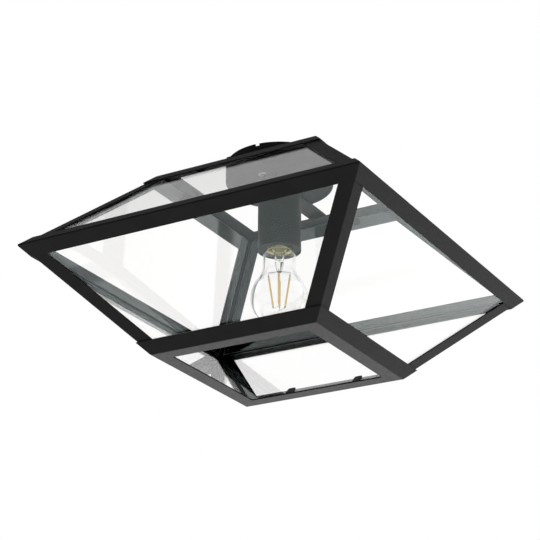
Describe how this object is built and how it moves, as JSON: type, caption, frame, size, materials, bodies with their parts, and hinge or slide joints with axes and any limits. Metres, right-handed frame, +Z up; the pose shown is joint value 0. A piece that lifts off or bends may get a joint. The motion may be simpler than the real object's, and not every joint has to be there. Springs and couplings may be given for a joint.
{
  "type": "porch ceiling lantern",
  "caption": "Ceiling lantern: an open cage of folded black steel, two cut pyramids base to base, with clear panes and a screw-in bulb in a central sleeve under a round canopy.",
  "frame": {"origin": "centre of the ceiling face, midway between the bracket's two screw slots", "axes": "+Z up into the ceiling, the front side faces -Y, and the crossbar and bracket run along Y"},
  "size_m": [0.3886, 0.3886, 0.23],
  "materials": {
    "black_steel": "satin black powder coat",
    "pane_glass": "clear float glass",
    "zinc_steel": "bright zinc plate",
    "brass": "bright brass",
    "bulb_brass": "pale brass shell",
    "tinned_copper": "tin plate",
    "black_phenolic": "moulded, satin",
    "white_nylon": "moulded nylon",
    "brown_insulation": "silicone insulation",
    "blue_insulation": "silicone insulation",
    "green_yellow_insulation": "striped insulation",
    "black_glass": "fused black glass",
    "bulb_glass": "clear blown glass",
    "support_wire": "dull nickel wire",
    "filament_phosphor": "yellow phosphor coating"
  },
  "bodies": {
    "lantern": {"bottom_glass_clips": "black_steel", "bottom_rail_front": "black_steel", "bottom_rail_left": "black_steel", "bottom_rail_rear": "black_steel", "bottom_rail_right": "black_steel", "canopy": "black_steel", "carrier_screws": "zinc_steel", "ceiling_bracket": "zinc_steel", "centre_contact": "brass", "crossbar": "black_steel", "earth_lead": "green_yellow_insulation", "earth_ring_terminal": "tinned_copper", "earth_screw": "brass", "lampholder_body": "black_phenolic", "lampholder_dome": "black_phenolic", "lampholder_sleeve": "black_steel", "lampholder_terminal_screws": "zinc_steel", "lampholder_terminals": "brass", "live_lead": "brown_insulation", "lower_pane_front": "pane_glass", "lower_pane_left": "pane_glass", "lower_pane_rear": "pane_glass", "lower_pane_right": "pane_glass", "lower_rib_front_left": "black_steel", "lower_rib_front_right": "black_steel", "lower_rib_rear_left": "black_steel", "lower_rib_rear_right": "black_steel", "neutral_lead": "blue_insulation", "nipple_nuts": "zinc_steel", "screw_shell": "brass", "terminal_block": "white_nylon", "terminal_block_screws": "zinc_steel", "threaded_nipple": "zinc_steel", "top_glass_clips": "black_steel", "top_rail_front": "black_steel", "top_rail_left": "black_steel", "top_rail_rear": "black_steel", "top_rail_right": "black_steel", "upper_pane_front": "pane_glass", "upper_pane_left": "pane_glass", "upper_pane_rear": "pane_glass", "upper_pane_right": "pane_glass", "upper_rib_front_left": "black_steel", "upper_rib_front_right": "black_steel", "upper_rib_rear_left": "black_steel", "upper_rib_rear_right": "black_steel", "waist_rail_front": "black_steel", "waist_rail_left": "black_steel", "waist_rail_rear": "black_steel", "waist_rail_right": "black_steel"},
    "contact_button": {"bulb_contact_button": "tinned_copper"},
    "bulb": {"bulb_cap": "bulb_brass", "cap_insulator": "black_glass", "bulb_glass": "bulb_glass", "bulb_stem": "bulb_glass", "filament_support_wires": "support_wire", "led_filaments": "filament_phosphor"}
  },
  "joints": [
    {"name": "bulb_travel", "type": "slide", "parent": "lantern", "child": "contact_button", "axis": [0, 0, -1], "range_m": [0, 0.01816]},
    {"name": "bulb_turn", "type": "hinge", "parent": "contact_button", "child": "bulb", "pos_m": [0, 0, -0.0725], "axis": [0, 0, -1], "range_deg": [0, 1800]}
  ],
  "couplings": [
    {"joint": "bulb_travel", "follows": "bulb_turn", "m_per_rad": 0.00057751}
  ]
}
